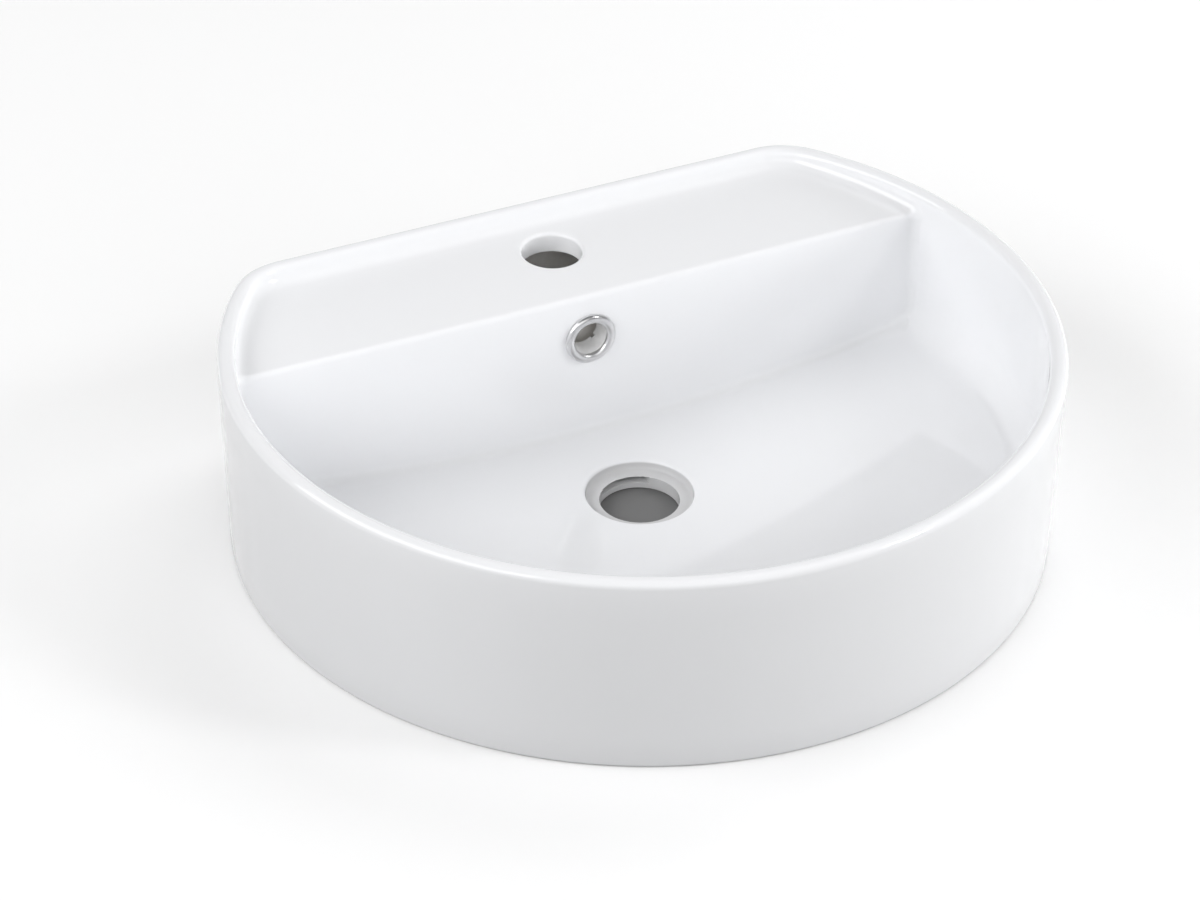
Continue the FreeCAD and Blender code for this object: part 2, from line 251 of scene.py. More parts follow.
def ledge_turns():
    """Turns of the points across the ledge: closest at its ends, close where the back's corners bend."""
    closest, in_corner, widest = math.radians(0.035), math.radians(0.36), math.radians(1.0)
    corner_from, corner_to = math.radians(42), math.radians(54)
    step_on_face, growth = 2.4 * MM, 1.12
    turns, at, step = [LEDGE_END], LEDGE_END, closest
    while at > 0:
        bend = in_corner if corner_from < at < corner_to else widest
        across_face = step_on_face * math.cos(at) ** 2 / LEDGE_FRONT
        at -= min(step, bend, across_face)
        step *= growth
        turns.append(at)
    turns = np.array(turns)
    turns = LEDGE_END + (turns - LEDGE_END) * LEDGE_END / (LEDGE_END - turns[-1])
    return np.concatenate([-turns[:-1], [0.0], turns[:-1][::-1]])


def front_turns():
    """Turns of the points round the front, from one end of the ledge to the other."""
    close, wide = math.radians(0.1), math.radians(0.62)
    places = spread(LEDGE_END, 2 * math.pi - LEDGE_END, close, close, wide, growth=1.2)
    return LEDGE_END + places * (2 * math.pi - 2 * LEDGE_END)


def stations(turns, reach, height):
    """Points at those turns and reaches."""
    height = np.broadcast_to(height, turns.shape)
    return np.stack([reach * np.sin(turns), CENTRE_Y + reach * np.cos(turns), height], 1)


class Shell:
    """A mesh that grows row by row."""
    def __init__(self):
        self.points, self.faces, self.count = [], [], 0

    def row(self, points):
        """Adds points and gives their numbers."""
        first = self.count
        self.points.append(points)
        self.count += len(points)
        return np.arange(first, self.count)

    def strip(self, one, two, closed=False):
        """Faces between two rows with as many points each; where points coincide, triangles."""
        pairs = len(one) if closed else len(one) - 1
        for i in range(pairs):
            j = (i + 1) % len(one)
            face = [one[i], one[j], two[j], two[i]]
            face = [v for k, v in enumerate(face) if v != face[k - 1]]
            if len(face) > 2:
                self.faces.append(face)

    def strips(self, rows):
        """Faces between closed rows that follow each other."""
        for one, two in zip(rows, rows[1:]):
            self.strip(one, two, closed=True)

    def join(self, one, two, places, axis_point, plane):
        """Triangles between two closed rings, matched by their turn about an axis."""
        def ordered(ring):
            first, second = places[ring][:, plane[0]], places[ring][:, plane[1]]
            turn = np.arctan2(second - axis_point[1], first - axis_point[0])
            order = np.argsort(turn)
            return np.array(ring)[order], turn[order]
        (one, turn_one), (two, turn_two) = ordered(one), ordered(two)
        i = j = 0
        while i < len(one) or j < len(two):
            next_one = turn_one[i] if i < len(one) else math.inf
            next_two = turn_two[j] if j < len(two) else math.inf
            a, b = one[(i - 1) % len(one)], two[(j - 1) % len(two)]
            if next_one <= next_two:
                self.faces.append([a, one[i], b])
                i += 1
            else:
                self.faces.append([b, a, two[j]])
                j += 1


shell = Shell()
ledge_at, front_at = ledge_turns(), front_turns()
whole_at = np.concatenate([ledge_at[:-1], front_at[:-1]])

# Outside: foot edge, side, outer edge of the rim.
FOOT_ROWS, SIDE_ROWS, RIM_ROWS = 6, 8, 8
outside = [(FOOT_EDGE * (1 - math.sin(t)), FOOT_EDGE * (1 - math.cos(t)))
           for t in np.linspace(0, math.pi / 2, FOOT_ROWS)]
outside += [(0.0, z) for z in np.linspace(FOOT_EDGE, HEIGHT - RIM_EDGE, SIDE_ROWS)[1:]]
outside += [(RIM_EDGE * (1 - math.cos(t)), HEIGHT - RIM_EDGE * (1 - math.sin(t)))
            for t in np.linspace(0, math.pi / 2, RIM_ROWS)[1:]]
rows = []
for inset, z in outside:
    radius = OUTER_RADIUS - SIDE_DRAFT * (1 - z / HEIGHT)
    rows.append(shell.row(stations(whole_at, plan_reach(whole_at, inset, radius), z)))
shell.strips(rows)
foot_ring, rim_ring = rows[0], rows[-1]

# Inside, one sharp-cornered line per turn, drawn onto the glazed surface afterwards. The places
# along it are shares of each stretch, spaced for these runs: down the face, over the floor at the
# front, and over the ledge at its middle.
RIM_STEPS, DROP_STEPS = 4, 12
FACE_RUN, FLOOR_RUN, LEDGE_RUN = 0.8 * HEIGHT, 190 * MM, 84 * MM
rim_places = np.linspace(0, 1, RIM_STEPS + 1)[1:]
drop_places = np.linspace(0, 1, DROP_STEPS + 1)[1:]
face_places = spread(0, FACE_RUN, 0.7 * MM, 0.9 * MM, 4.2 * MM)[1:]
floor_places = spread(0, FLOOR_RUN, 1.4 * MM, 2.5 * MM, 6.0 * MM, growth=1.12)[1:]
ledge_places = spread(0, LEDGE_RUN, 0.8 * MM, 0.6 * MM, 3.2 * MM)[1:]


def inner_rows(turns, on_ledge, rounds=20):
    """Rows from the rim down to the waste hole, over the ledge or straight down the wall."""
    wall = plan_reach(turns, RIM_WIDTH)
    rim = plan_reach(turns, RIM_EDGE)
    foot = wall
    result = [stations(turns, rim + (wall - rim) * t, HEIGHT) for t in rim_places]
    level = np.full_like(turns, LEDGE_Z)
    if on_ledge:
        level = ledge_height(wall * np.cos(turns))
        foot = LEDGE_FRONT / np.cos(turns)
        for _ in range(rounds):
            foot = ledge_face(foot * np.sin(turns)) / np.cos(turns)
    else:
        level = level + (ledge_height(ledge_face(wall * math.sin(LEDGE_END))) - LEDGE_Z)
    result += [stations(turns, wall, HEIGHT + (level - HEIGHT) * t) for t in drop_places]
    if on_ledge:
        for t in ledge_places:
            reach = wall + (foot - wall) * t
            result.append(stations(turns, reach, ledge_height(reach * np.cos(turns))))
    top = ledge_height(foot * np.cos(turns)) if on_ledge else level
    bottom = floor_height(foot)
    result += [stations(turns, foot, top + (bottom - top) * t) for t in face_places]
    lip = LIP_RADIUS + LIP_BLEND
    for t in floor_places:
        reach = foot + (lip - foot) * t
        result.append(stations(turns, reach, floor_height(reach)))
    return result


back_rows, front_rows = inner_rows(ledge_at, True), inner_rows(front_at, False)
ledge_first = len(rim_places) + len(drop_places)
ledge_last = ledge_first + len(ledge_places)
back_ids = [shell.row(row) for row in back_rows]
for k in range(ledge_first, ledge_last):
    back_ids[k][0], back_ids[k][-1] = back_ids[ledge_first - 1][0], back_ids[ledge_first - 1][-1]
front_ids, back_k = [], [k for k in range(len(back_rows)) if not ledge_first <= k < ledge_last]
for k, row in zip(back_k, front_rows):
    ids = shell.row(row)
    ids[0], ids[-1] = back_ids[k][-1], back_ids[k][0]
    front_ids.append(ids)

# The skin, with a window left open round the tap hole and another round the overflow hole.
TAP_WINDOW, HOLE_WINDOW = 25 * MM, 17 * MM
middle_column = len(ledge_at) // 2
near_tap = [k for k in range(ledge_first, ledge_last)
            if abs(back_rows[k][middle_column, 1] - CENTRE_Y - TAP_Y) < TAP_WINDOW]
near_hole = [k for k in range(ledge_last, ledge_last + len(face_places))
             if abs(back_rows[k][middle_column, 2] - HOLE_Z) < HOLE_WINDOW]
tap_columns = [i for i, t in enumerate(ledge_at) if abs(math.tan(t)) * TAP_Y < TAP_WINDOW]
hole_columns = [i for i, t in enumerate(ledge_at) if abs(math.tan(t)) * LEDGE_FRONT < HOLE_WINDOW]


def in_window(rows_in, columns, k, i):
    return rows_in[0] <= k < rows_in[-1] and columns[0] <= i < columns[-1]


def window_ring(rows_in, columns):
    """Points round the window that is left open for a hole."""
    ring = [back_ids[rows_in[0]][i] for i in range(columns[0], columns[-1])]
    ring += [back_ids[k][columns[-1]] for k in range(rows_in[0], rows_in[-1])]
    ring += [back_ids[rows_in[-1]][i] for i in range(columns[-1], columns[0], -1)]
    ring += [back_ids[k][columns[0]] for k in range(rows_in[-1], rows_in[0], -1)]
    return np.array(ring)


previous = rim_ring[:len(ledge_at)]
for k, ids in enumerate(back_ids):
    for i in range(len(ledge_at) - 1):
        at_tap = in_window(near_tap, tap_columns, k - 1, i)
        at_hole = in_window(near_hole, hole_columns, k - 1, i)
        if not (at_tap or at_hole):
            shell.strip(previous[i:i + 2], ids[i:i + 2])
    previous = ids
previous = np.append(rim_ring[len(ledge_at) - 1:], rim_ring[0])
for ids in front_ids:
    shell.strip(previous, ids)
    previous = ids
points = np.concatenate(shell.points)
inner = np.unique(np.concatenate(back_ids + front_ids))
points[inner] = settle(points[inner])
shell.points = [points]

# Tap hole: flat ledge to a rounded edge, then a straight bore.
TAP_EDGE_ROWS = 8
TAP_WAY_IN = (0.35, 0.7)               # rows between the window and the edge, as shares of the way
TAP_WAY_DOWN = (0.3, 0.65, 1.0)        # rows down the bore
ring = window_ring(near_tap, tap_columns)
angle = np.arctan2(points[ring, 1] - CENTRE_Y - TAP_Y, points[ring, 0])


def tap_ring(radius, sink):
    x, y = radius * np.cos(angle), TAP_Y + radius * np.sin(angle)
    return np.stack([x, CENTRE_Y + y, ledge_height(y) - sink], 1)


flat = points[ring][:, :2] - np.array([0, CENTRE_Y + TAP_Y])
rows = [ring]
for t in TAP_WAY_IN:
    xy = flat * (1 - t) + t * (TAP_RADIUS + TAP_EDGE) * np.stack([np.cos(angle), np.sin(angle)], 1)
    height = ledge_height(TAP_Y + xy[:, 1])
    rows.append(shell.row(np.column_stack([xy[:, 0], CENTRE_Y + TAP_Y + xy[:, 1], height])))
for t in np.linspace(0, math.pi / 2, TAP_EDGE_ROWS):
    rounding = tap_ring(TAP_RADIUS + TAP_EDGE * (1 - math.sin(t)), TAP_EDGE * (1 - math.cos(t)))
    rows.append(shell.row(rounding))
for t in TAP_WAY_DOWN:
    wall = tap_ring(TAP_RADIUS, TAP_EDGE)
    wall[:, 2] += (LEDGE_UNDERSIDE - wall[:, 2]) * t
    rows.append(shell.row(wall))
shell.strips(rows)
tap_bottom = rows[-1]

# Overflow hole through the ledge's face.
HOLE_EDGE_ROWS = 4
HOLE_WAY_IN = (0.4, 0.8)
HOLE_WAY_BACK = (0.5, 1.0)
ring = window_ring(near_hole, hole_columns)
angle = np.arctan2(points[ring, 2] - HOLE_Z, points[ring, 0])


def hole_ring(radius, back):
    x, z = radius * np.cos(angle), HOLE_Z + radius * np.sin(angle)
    return np.stack([x, CENTRE_Y + ledge_face(x) + back, z], 1)


flat = points[ring][:, [0, 2]] - np.array([0, HOLE_Z])
rows = [ring]
for t in HOLE_WAY_IN:
    xz = flat * (1 - t) + t * (HOLE_RADIUS + HOLE_EDGE) * np.stack([np.cos(angle), np.sin(angle)], 1)
    on_face = CENTRE_Y + ledge_face(xz[:, 0])
    rows.append(shell.row(np.column_stack([xz[:, 0], on_face, HOLE_Z + xz[:, 1]])))
for t in np.linspace(0, math.pi / 2, HOLE_EDGE_ROWS):
    rounding = hole_ring(HOLE_RADIUS + HOLE_EDGE * (1 - math.sin(t)), HOLE_EDGE * (1 - math.cos(t)))
    rows.append(shell.row(rounding))
for t in HOLE_WAY_BACK:
    wall = hole_ring(HOLE_RADIUS, HOLE_EDGE)
    wall[:, 1] += (OVERFLOW_BACK - wall[:, 1]) * t
    rows.append(shell.row(wall))
shell.strips(rows)
hole_back = rows[-1]

# Waste hole: its section as radius and height in mm, from the floor to the bore's top edge.
SEAT_LIP = [(33.0, 14.03), (32.2, 13.96), (31.7, 13.82), (31.35, 13.58), (31.1, 13.25), (30.95, 12.85)]
SEAT_WALL = [(30.85, 12.3), (30.75, 11.4), (30.6, 10.5)]
SEAT_HOLLOW = [(30.3, 9.8), (29.7, 9.2), (28.8, 8.9)]
SEAT_SHELF = [(27.5, 8.78), (26.0, 8.72), (24.6, 8.68), (23.8, 8.66), (23.35, 8.64), (23.0, 8.6)]
rows = [np.concatenate([back_ids[-1][:-1], front_ids[-1][:-1]])]
for reach, z in SEAT_LIP + SEAT_WALL + SEAT_HOLLOW + SEAT_SHELF:
    rows.append(shell.row(stations(whole_at, np.full_like(whole_at, reach * MM), z * MM)))
shell.strips(rows)
bore_top = rows[-1]

# The cast underside: the solid's own faces, apart from those that the new skin stands for. The
# solid's points lie on those faces to within a small tolerance, and on its roundings more loosely.
TOUCH = 0.05 * MM
NEAR = 0.1 * MM
ABOUT = 0.2 * MM
ROUNDING_ROOM = 3 * MM
LOOKS_DOWN = -0.3                      # upward share of a face's direction
cast = bmesh.new()
cast.from_mesh(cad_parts["basin_body"].data)
bmesh.ops.remove_doubles(cast, verts=cast.verts, dist=2 * WELD)
places = np.array([v.co for v in cast.verts])
z, rel_y = places[:, 2], places[:, 1] - CENTRE_Y
reach = np.hypot(places[:, 0], rel_y)
radius_here = OUTER_RADIUS - SIDE_DRAFT * (1 - z / HEIGHT)
depth = np.array([float(plan_depth(x, y, 0.0, r)) for x, y, r in zip(places[:, 0], rel_y, radius_here)])
on_skin = (depth < FOOT_EDGE + NEAR) | (np.abs(room(places)) < ROUNDING_ROOM) | (z > HEIGHT - RIM_EDGE)
in_tap = np.hypot(places[:, 0], rel_y - TAP_Y) < TAP_RADIUS + TAP_EDGE + 0.3 * MM
in_tap &= z > LEDGE_UNDERSIDE - TOUCH
in_hole = np.hypot(places[:, 0], z - HOLE_Z) < HOLE_RADIUS + TOUCH
in_hole &= (places[:, 1] < OVERFLOW_BACK + TOUCH) & (places[:, 1] > OVERFLOW_BACK - 10 * MM)
in_seat = (reach > BORE_RADIUS - TOUCH) & (reach < LIP_RADIUS + 4 * MM) & (z > SEAT_EDGE_Z - 0.02 * MM)
gone = []
for face in cast.faces:
    ids = [v.index for v in face.verts]
    bottom = max(places[i][2] for i in ids) < 0.01 * MM
    skin = all(on_skin[i] or in_tap[i] for i in ids) and not bottom
    tube = all(in_tap[i] for i in ids) or all(in_hole[i] for i in ids)
    seated = all(in_seat[i] or on_skin[i] for i in ids) and face.normal.z > LOOKS_DOWN
    if skin or tube or seated:
        gone.append(face)
bmesh.ops.delete(cast, geom=gone, context="FACES")
bmesh.ops.delete(cast, geom=[v for v in cast.verts if not v.link_faces], context="VERTS")
cast.verts.index_update()
cast_points = np.array([v.co for v in cast.verts])
cast_ids = shell.row(cast_points)
bare = []
for face in cast.faces:
    middle = face.calc_center_median()
    in_bore = math.hypot(middle.x, middle.y - CENTRE_Y) < BORE_RADIUS + ABOUT
    in_duct = abs(middle.x) < SLOT_WIDTH / 2 + ABOUT and CENTRE_Y < middle.y < OVERFLOW_BACK + DUCT_DEPTH
    in_slot = in_duct and SLOT_FLOOR_Z - ABOUT < middle.z < SLOT_FLOOR_Z + SLOT_HEIGHT + ABOUT
    if not (in_bore or in_slot):
        bare.append(len(shell.faces))
    shell.faces.append([cast_ids[v.index] for v in face.verts])
open_ids = np.array([v.index for v in cast.verts if v.is_boundary])
cast.free()
open_points = cast_points[open_ids]


def open_ring(test):
    """The cast faces' open points that pass a test."""
    return [cast_ids[v] for v in open_ids[test(open_points)]]


# The skin's last rows are joined to the open rings of the cast faces.
foot_cast = open_ring(lambda p: p[:, 2] < TOUCH)
tap_cast = open_ring(lambda p: np.abs(p[:, 2] - LEDGE_UNDERSIDE) < NEAR)
hole_cast = open_ring(lambda p: np.abs(p[:, 1] - OVERFLOW_BACK) < NEAR)
hole_cast = [v for v in hole_cast if v not in set(tap_cast)]
bore_cast = open_ring(lambda p: np.hypot(p[:, 0], p[:, 1] - CENTRE_Y) < BORE_RADIUS + NEAR)
places = np.concatenate(shell.points)
LEVEL, UPRIGHT = (0, 1), (0, 2)        # axes of the plane in which a ring lies
foot_first = len(shell.faces)
shell.join(foot_ring, foot_cast, places, (0, CENTRE_Y), LEVEL)
bare += range(foot_first, len(shell.faces))
shell.join(tap_bottom, tap_cast, places, (0, CENTRE_Y + TAP_Y), LEVEL)
shell.join(hole_back, hole_cast, places, (0, HOLE_Z), UPRIGHT)
shell.join(bore_top, bore_cast, places, (0, CENTRE_Y), LEVEL)


def new_material(name, **settings):
    """A material whose shader has these settings; an underscore stands for a space."""
    material = bpy.data.materials.new(name)
    material.use_nodes = True
    shader = material.node_tree.nodes["Principled BSDF"]
    for setting, value in settings.items():
        shader.inputs[setting.replace("_", " ")].default_value = value
    return material


def drive(material, setting, output):
    """Lets a node's output give one of the shader's settings."""
    tree = material.node_tree
    tree.links.new(output, tree.nodes["Principled BSDF"].inputs[setting])


def place_on(material):
    """The place on the object."""
    return material.node_tree.nodes.new("ShaderNodeTexCoord").outputs["Object"]


def maths(material, operation, a, b=0.0, c=0.0):
    """A maths node; each input is a value or another node's output."""
    tree = material.node_tree
    node = tree.nodes.new("ShaderNodeMath")
    node.operation = operation
    for socket, value in zip(node.inputs, (a, b, c)):
        if isinstance(value, bpy.types.NodeSocket):
            tree.links.new(value, socket)
        else:
            socket.default_value = value
    return node.outputs[0]


def noise(material, scale, detail=2.0):
    """Cloudy values from 0 to 1."""
    tree = material.node_tree
    node = tree.nodes.new("ShaderNodeTexNoise")
    node.inputs["Scale"].default_value = scale
    node.inputs["Detail"].default_value = detail
    tree.links.new(place_on(material), node.inputs["Vector"])
    return node.outputs[0]


def colour_between(material, share, one, two):
    """Gives the material a colour between two, by a share."""
    tree = material.node_tree
    node = tree.nodes.new("ShaderNodeMix")
    node.data_type = "RGBA"
    node.inputs[6].default_value = one
    node.inputs[7].default_value = two
    tree.links.new(share, node.inputs[0])
    drive(material, "Base Color", node.outputs[2])


def bumps(material, height, strength, distance):
    """Gives the material a fine relief."""
    tree = material.node_tree
    node = tree.nodes.new("ShaderNodeBump")
    node.inputs["Strength"].default_value = strength
    node.inputs["Distance"].default_value = distance
    tree.links.new(height, node.inputs["Height"])
    drive(material, "Normal", node.outputs[0])


# White glaze: glossy, a little cooler than white, and faintly rippled. Down in the waste seat it has painted
# shade:
# a grey tint in place of the shade that a deeper seat would have.
glaze = new_material("white_glaze", Roughness=0.045, IOR=1.5)
nodes, links = glaze.node_tree.nodes, glaze.node_tree.links
parts = nodes.new("ShaderNodeSeparateXYZ")
links.new(place_on(glaze), parts.inputs[0])
sideways, inward, upright = parts.outputs
inward = maths(glaze, "SUBTRACT", inward, CENTRE_Y)
squares = maths(glaze, "ADD", maths(glaze, "POWER", sideways, 2), maths(glaze, "POWER", inward, 2))
at_waste = maths(glaze, "LESS_THAN", maths(glaze, "SQRT", squares), LIP_RADIUS + 1 * MM)
sunk = nodes.new("ShaderNodeMapRange")
sunk.interpolation_type = "SMOOTHSTEP"
sunk.inputs["From Min"].default_value = FLOOR_Z - SHADE_START
sunk.inputs["From Max"].default_value = FLOOR_Z - SHADE_FULL
links.new(upright, sunk.inputs["Value"])
# Painted shade in the seat, with a faint cloud of tone over the whole glaze.
painted_shade_and_clouds = maths(glaze, "MULTIPLY", sunk.outputs[0], at_waste)
painted_shade_and_clouds = maths(glaze, "MULTIPLY_ADD", noise(glaze, CLOUD_SCALE), CLOUD_SHARE, painted_shade_and_clouds)
colour_between(glaze, painted_shade_and_clouds, GLAZE_COLOUR, SEAT_PAINTED_SHADE)
bumps(glaze, noise(glaze, RIPPLE_SCALE), strength=0.25, distance=0.02 * MM)

# Biscuit: the bare fired clay of the underside and the foot, matt and a little warm, with fine pores.
biscuit = new_material("bare_biscuit", Roughness=0.75)
pores = noise(biscuit, PORE_SCALE, detail=4)
colour_between(biscuit, pores, *BISCUIT_COLOURS)
bumps(biscuit, pores, strength=0.3, distance=0.05 * MM)


def finish_mesh(mesh):
    """Joins points that meet, turns the faces outwards and keeps only the real edges sharp."""
    work = bmesh.new()
    work.from_mesh(mesh)
    bmesh.ops.remove_doubles(work, verts=work.verts, dist=WELD)
    bmesh.ops.delete(work, geom=[v for v in work.verts if not v.link_faces], context="VERTS")
    bmesh.ops.dissolve_degenerate(work, edges=work.edges, dist=WELD)
    bmesh.ops.recalc_face_normals(work, faces=work.faces)
    work.to_mesh(mesh)
    work.free()
    mesh.shade_smooth()
    mesh.set_sharp_from_angle(angle=SHARP_ANGLE)


body_mesh = bpy.data.meshes.new("basin_casting")
body_mesh.from_pydata([tuple(p) for p in places], [], [tuple(int(v) for v in f) for f in shell.faces])
for material in (glaze, biscuit):
    body_mesh.materials.append(material)
biscuit_number = body_mesh.materials.find("bare_biscuit")
for number in bare:
    body_mesh.polygons[number].material_index = biscuit_number
body_mesh.update()
finish_mesh(body_mesh)
body = bpy.data.objects.new("basin_casting", body_mesh)
scene.collection.objects.link(body)
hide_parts("basin_body")
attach(body, "root")


# ---- Overflow ring: a plated trim that is pushed into the overflow hole ----
# A domed bezel lies on the ledge's face. Its grey plastic sleeve ends in four springy fingers,
# whose barbs catch behind the ceramic.
FINGERS = 4
FINGER_SLOT = 3.0 * MM                 # between two fingers
SLOT_RADIUS = 11.0 * MM                # where it is measured
SLEEVE_LAP = 0.6 * MM                  # how far the sleeve reaches up into the bezel
FACE_GAP = 0.05 * MM                   # between the bezel's back and the middle of the ledge's face
BEZEL_SECTION_POINTS = 40
RING_POINTS = 128
FINGER_POINTS = 24

CHROME_COLOUR = (0.74, 0.74, 0.745, 1)
PLASTIC_COLOUR = (0.84, 0.84, 0.84, 1)
chrome = new_material("plated_bezel", Base_Color=CHROME_COLOUR, Metallic=1.0, Roughness=0.3)
plastic = new_material("grey_sleeve_plastic", Base_Color=PLASTIC_COLOUR, Roughness=0.3)

ring_tree = bpy.data.node_groups.new("overflow_ring", "GeometryNodeTree")
ring_sizes = {
    "Bezel crest radius": 12.9 * MM,
    "Bezel half width": 2.7 * MM,
    "Bezel half height": 2.2 * MM,
    "Bezel centre height": 1.2 * MM,
    "Sleeve middle radius": 10.975 * MM,
    "Sleeve wall": 1.55 * MM,
    "Sleeve depth": 10.4 * MM,
    "Finger depth": 12.4 * MM,
    "Finger sweep": 2 * math.pi / FINGERS - FINGER_SLOT / SLOT_RADIUS,
    "Barb width": 0.9 * MM,
    "Barb depth": 3.0 * MM,
}
for label in ring_sizes:
    ring_tree.interface.new_socket(label, in_out="INPUT", socket_type="NodeSocketFloat")
ring_tree.interface.new_socket("Fingers", in_out="INPUT", socket_type="NodeSocketInt")
ring_tree.interface.new_socket("Geometry", in_out="OUTPUT", socket_type="NodeSocketGeometry")


def ring_node(kind, settings=None, **inputs):
    """A node of the ring's tree; an input, by name or as i and its number, is a value or an output."""
    node = ring_tree.nodes.new(kind)
    for name, value in (settings or {}).items():
        setattr(node, name, value)
    for name, value in inputs.items():
        numbered = name[0] == "i" and name[1:].isdigit()
        socket = node.inputs[int(name[1:]) if numbered else name.replace("_", " ")]
        if isinstance(value, bpy.types.NodeSocket):
            ring_tree.links.new(value, socket)
        else:
            socket.default_value = value
    return node


def ring_math(operation, a, b=0.0):
    return ring_node("ShaderNodeMath", {"operation": operation}, i0=a, i1=b).outputs[0]


def ring_vector(x=0.0, y=0.0, z=0.0):
    return ring_node("ShaderNodeCombineXYZ", X=x, Y=y, Z=z).outputs[0]


def circle(points, radius):
    return ring_node("GeometryNodeCurvePrimitiveCircle", Resolution=points, Radius=radius).outputs[0]


def swept(path, profile, material):
    """A closed section carried along a path, as a solid of one material."""
    solid = ring_node("GeometryNodeCurveToMesh", Curve=path, Profile_Curve=profile, Fill_Caps=True).outputs[0]
    return ring_node("GeometryNodeSetMaterial", Geometry=solid, Material=material).outputs[0]


def band(depth_from, depth_to, wall):
    """Rectangular section of a tube wall between two depths."""
    section = ring_node("GeometryNodeCurvePrimitiveQuadrilateral", Width=wall,
                        Height=ring_math("SUBTRACT", depth_to, depth_from)).outputs[0]
    middle = ring_math("MULTIPLY", ring_math("ADD", depth_from, depth_to), -0.5)
    return ring_node("GeometryNodeTransform", Geometry=section, Translation=ring_vector(y=middle)).outputs[0]


def joined(pieces):
    """Several geometries as one."""
    node = ring_node("GeometryNodeJoinGeometry")
    for piece in pieces:
        ring_tree.links.new(piece, node.inputs[0])
    return node.outputs[0]


size = ring_node("NodeGroupInput").outputs

# Bezel: an ellipse with a flat back, carried round a circle.
ellipse = circle(BEZEL_SECTION_POINTS, 1.0)
place = ring_node("ShaderNodeSeparateXYZ", Vector=ring_node("GeometryNodeInputPosition").outputs[0]).outputs
outward = ring_math("MULTIPLY", place[0], size["Bezel half width"])
raised = ring_math("MULTIPLY", place[1], size["Bezel half height"])
raised = ring_math("MAXIMUM", ring_math("ADD", raised, size["Bezel centre height"]), 0.0)
outline = ring_vector(outward, raised)
ellipse = ring_node("GeometryNodeSetPosition", Geometry=ellipse, Position=outline).outputs[0]
bezel = swept(circle(RING_POINTS, size["Bezel crest radius"]), ellipse, chrome)

# Sleeve: a plain tube, then the fingers and their barbs, each an arc turned round the axis.
sleeve = swept(circle(RING_POINTS, size["Sleeve middle radius"]),
               band(-SLEEVE_LAP, size["Sleeve depth"], size["Sleeve wall"]), plastic)
half_sweep = ring_math("MULTIPLY", size["Finger sweep"], -0.5)


def finger_arc(radius):
    return ring_node("GeometryNodeCurveArc", Resolution=FINGER_POINTS, Radius=radius,
                     Start_Angle=half_sweep, Sweep_Angle=size["Finger sweep"]).outputs[0]


finger = swept(finger_arc(size["Sleeve middle radius"]),
               band(size["Sleeve depth"], size["Finger depth"], size["Sleeve wall"]), plastic)
barb_reach = ring_math("ADD", size["Sleeve middle radius"], ring_math("MULTIPLY", size["Sleeve wall"], 0.5))
barb_start = ring_math("SUBTRACT", size["Finger depth"], size["Barb depth"])
barb = swept(finger_arc(barb_reach), band(barb_start, size["Finger depth"], size["Barb width"]), plastic)
centre = ring_node("GeometryNodePoints", Count=size["Fingers"], Radius=MM).outputs[0]
share = ring_math("DIVIDE", 2 * math.pi, size["Fingers"])
number = ring_math("MULTIPLY", ring_node("GeometryNodeInputIndex").outputs[0], share)
fingers = ring_node("GeometryNodeInstanceOnPoints", Points=centre, Instance=joined((finger, barb)),
                    Rotation=ring_vector(z=number)).outputs[0]
real = ring_node("GeometryNodeRealizeInstances", Geometry=joined((bezel, sleeve, fingers))).outputs[0]
ring_tree.links.new(real, ring_node("NodeGroupOutput").inputs[0])

ring_draft = bpy.data.objects.new("ring_draft", bpy.data.meshes.new("ring_draft"))
scene.collection.objects.link(ring_draft)
modifier = ring_draft.modifiers.new("ring", "NODES")
modifier.node_group = ring_tree
for item in ring_tree.interface.items_tree:
    if item.name in ring_sizes:
        modifier[item.identifier] = ring_sizes[item.name]
    elif item.name == "Fingers":
        modifier[item.identifier] = FINGERS
ring_mesh = bpy.data.meshes.new_from_object(ring_draft.evaluated_get(bpy.context.evaluated_depsgraph_get()))
bpy.data.objects.remove(ring_draft)
facing = Matrix(((1, 0, 0), (0, 0, 1), (0, -1, 0))).to_4x4()    # axis from Z to Y, bezel to the front
ring_mesh.transform(Matrix.Translation((0, CENTRE_Y + LEDGE_FRONT - FACE_GAP, HOLE_Z)) @ facing)
finish_mesh(ring_mesh)
ring_mesh.name = "overflow_trim"
overflow_trim = bpy.data.objects.new("overflow_trim", ring_mesh)
scene.collection.objects.link(overflow_trim)
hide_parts("overflow_ring")
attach(overflow_trim, "root")


# ---- Floor: plain white paper, with a painted shadow below the waste hole ----
# It is pale to the camera and in the glaze's mirror, and darker to the light that bounces from it,
# so that the walls get little light from below. Under the basin it is pale to all.
FLOOR_HALF = 6.0
FLOOR_TONE = 0.88
FLOOR_BOUNCE = 0.15
FLOOR_GLOW = 0.05
# Below the waste hole the paper has a dark painted shadow, which shows through the holes as the shade under
# the basin.
SHADOW_SPOT_RADIUS = 36 * MM
SHADOW_SPOT_TONE = 0.22
UNDER_RADIUS = 150 * MM
floor_mesh = bpy.data.meshes.new("floor")
corners = [(x * FLOOR_HALF, y * FLOOR_HALF, 0.0) for x, y in ((-1, -1), (1, -1), (1, 1), (-1, 1))]
floor_mesh.from_pydata(corners, [], [(0, 1, 2, 3)])
floor = bpy.data.objects.new("floor", floor_mesh)
scene.collection.objects.link(floor)
paper = new_material("floor_paper", Roughness=0.9, Specular_IOR_Level=0.1, Emission_Color=(1, 1, 1, 1))
nodes, links = paper.node_tree.nodes, paper.node_tree.links
ray = nodes.new("ShaderNodeLightPath").outputs
seen = maths(paper, "MAXIMUM", ray["Is Camera Ray"], ray["Is Glossy Ray"])
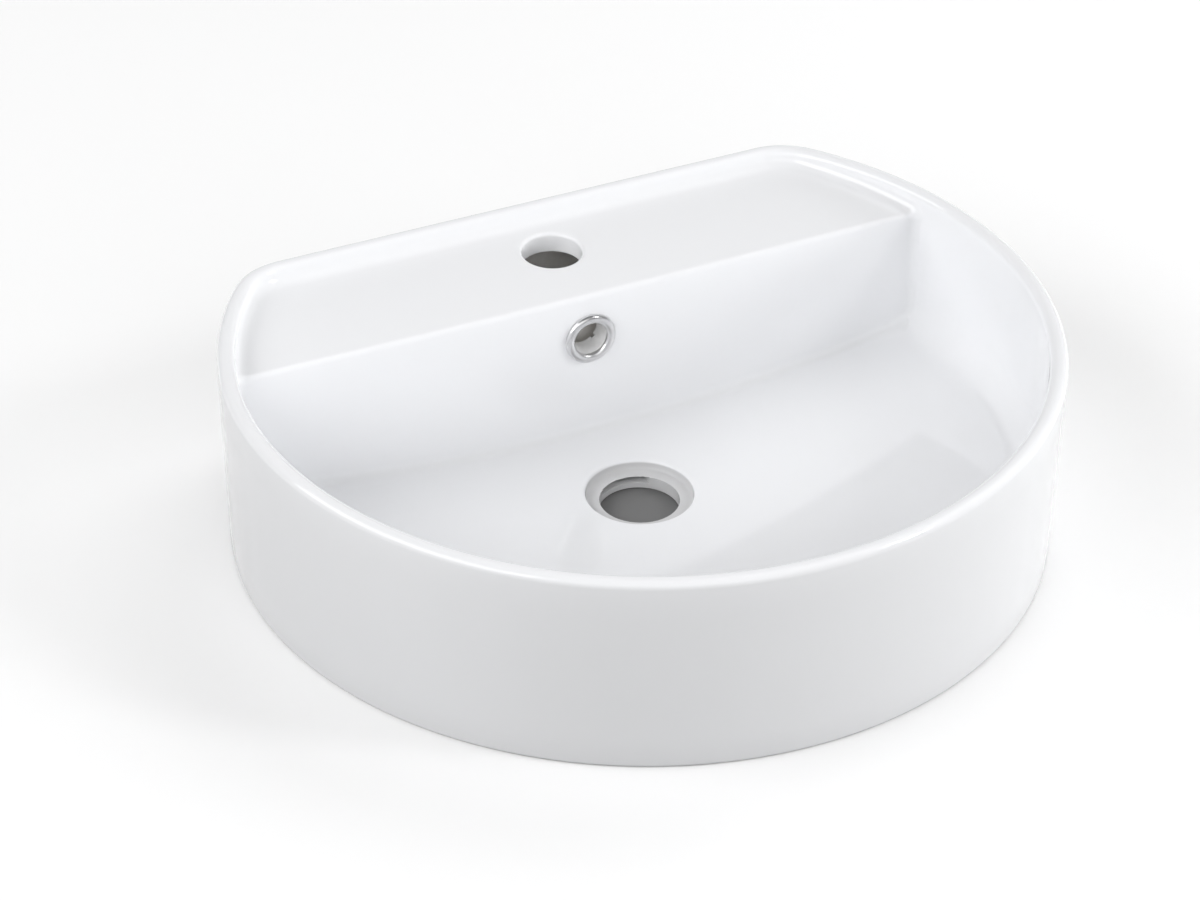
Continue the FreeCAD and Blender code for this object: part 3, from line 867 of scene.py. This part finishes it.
seen = maths(paper, "MAXIMUM", seen, ray["Is Transmission Ray"])
spot = nodes.new("ShaderNodeVectorMath")
spot.operation = "DISTANCE"
links.new(place_on(paper), spot.inputs[0])
spot.inputs[1].default_value = (0, CENTRE_Y, 0)
# Painted shadow: the paper is darker inside the spot below the waste hole.
outside_shadow_spot = maths(paper, "GREATER_THAN", spot.outputs["Value"], SHADOW_SPOT_RADIUS)
beyond = maths(paper, "GREATER_THAN", spot.outputs["Value"], UNDER_RADIUS)
bounce = maths(paper, "ADD", maths(paper, "MULTIPLY", beyond, FLOOR_BOUNCE - FLOOR_TONE), FLOOR_TONE)
tone = maths(paper, "MAXIMUM", bounce, maths(paper, "MULTIPLY", seen, FLOOR_TONE))
shade = maths(paper, "ADD", maths(paper, "MULTIPLY", outside_shadow_spot, 1 - SHADOW_SPOT_TONE), SHADOW_SPOT_TONE)
glow = maths(paper, "MULTIPLY", maths(paper, "MULTIPLY", seen, beyond), FLOOR_GLOW)
drive(paper, "Base Color", maths(paper, "MULTIPLY", tone, shade))
drive(paper, "Emission Strength", glow)
floor_mesh.materials.append(paper)


# ---- Light: soft boxes and low strips round the basin, and a small bright window ----
# The glaze mirrors the left box, the front box and the window. The others only brighten the walls
# and the floor, so that the rims keep their grey outlines.
WORLD_STRENGTH = 0.08
BOX_DISTANCE = 2.6
LIGHT_BOUNCES = 10                     # the white walls light each other many times over
world = bpy.data.worlds.new("studio")
world.use_nodes = True
scene.world = world
air = world.node_tree.nodes["Background"]
air.inputs["Color"].default_value = (1, 1, 1, 1)
air.inputs["Strength"].default_value = WORLD_STRENGTH
scene.cycles.diffuse_bounces = LIGHT_BOUNCES


def soft_box(name, azimuth, elevation, width, height, brightness, mirrored=True):
    """A softly lit rectangle that faces the basin; the azimuth is from +X towards +Y."""
    data = bpy.data.lights.new(name, "AREA")
    data.shape = "RECTANGLE"
    data.size, data.size_y = width, height
    data.energy = 4 * width * height * brightness
    box = bpy.data.objects.new(name, data)
    scene.collection.objects.link(box)
    azimuth, elevation = math.radians(azimuth), math.radians(elevation)
    outward = Vector((math.cos(azimuth) * math.cos(elevation), math.sin(azimuth) * math.cos(elevation),
                      math.sin(elevation)))
    turn = outward.to_track_quat("Z", "Y").to_matrix().to_4x4()
    box.matrix_world = Matrix.Translation(outward * BOX_DISTANCE) @ turn
    box.visible_camera = False
    box.visible_glossy = mirrored


soft_box("box_left", 180, 36, 3.0, 1.6, 2.75)
soft_box("box_front", -113, 36, 3.0, 1.6, 1.15)
soft_box("window", -40, 38, 0.35, 0.65, 13)
soft_box("strip_right", 0, 12, 3.0, 1.1, 2.5, mirrored=False)
soft_box("strip_front_right", -35, 12, 2.0, 1.0, 3.0, mirrored=False)
soft_box("strip_back", 90, 10, 3.0, 0.9, 2.1, mirrored=False)
soft_box("box_right", 35, 50, 1.6, 1.6, 1.9, mirrored=False)
soft_box("strip_front", -90, 10, 2.0, 0.8, 1.1, mirrored=False)
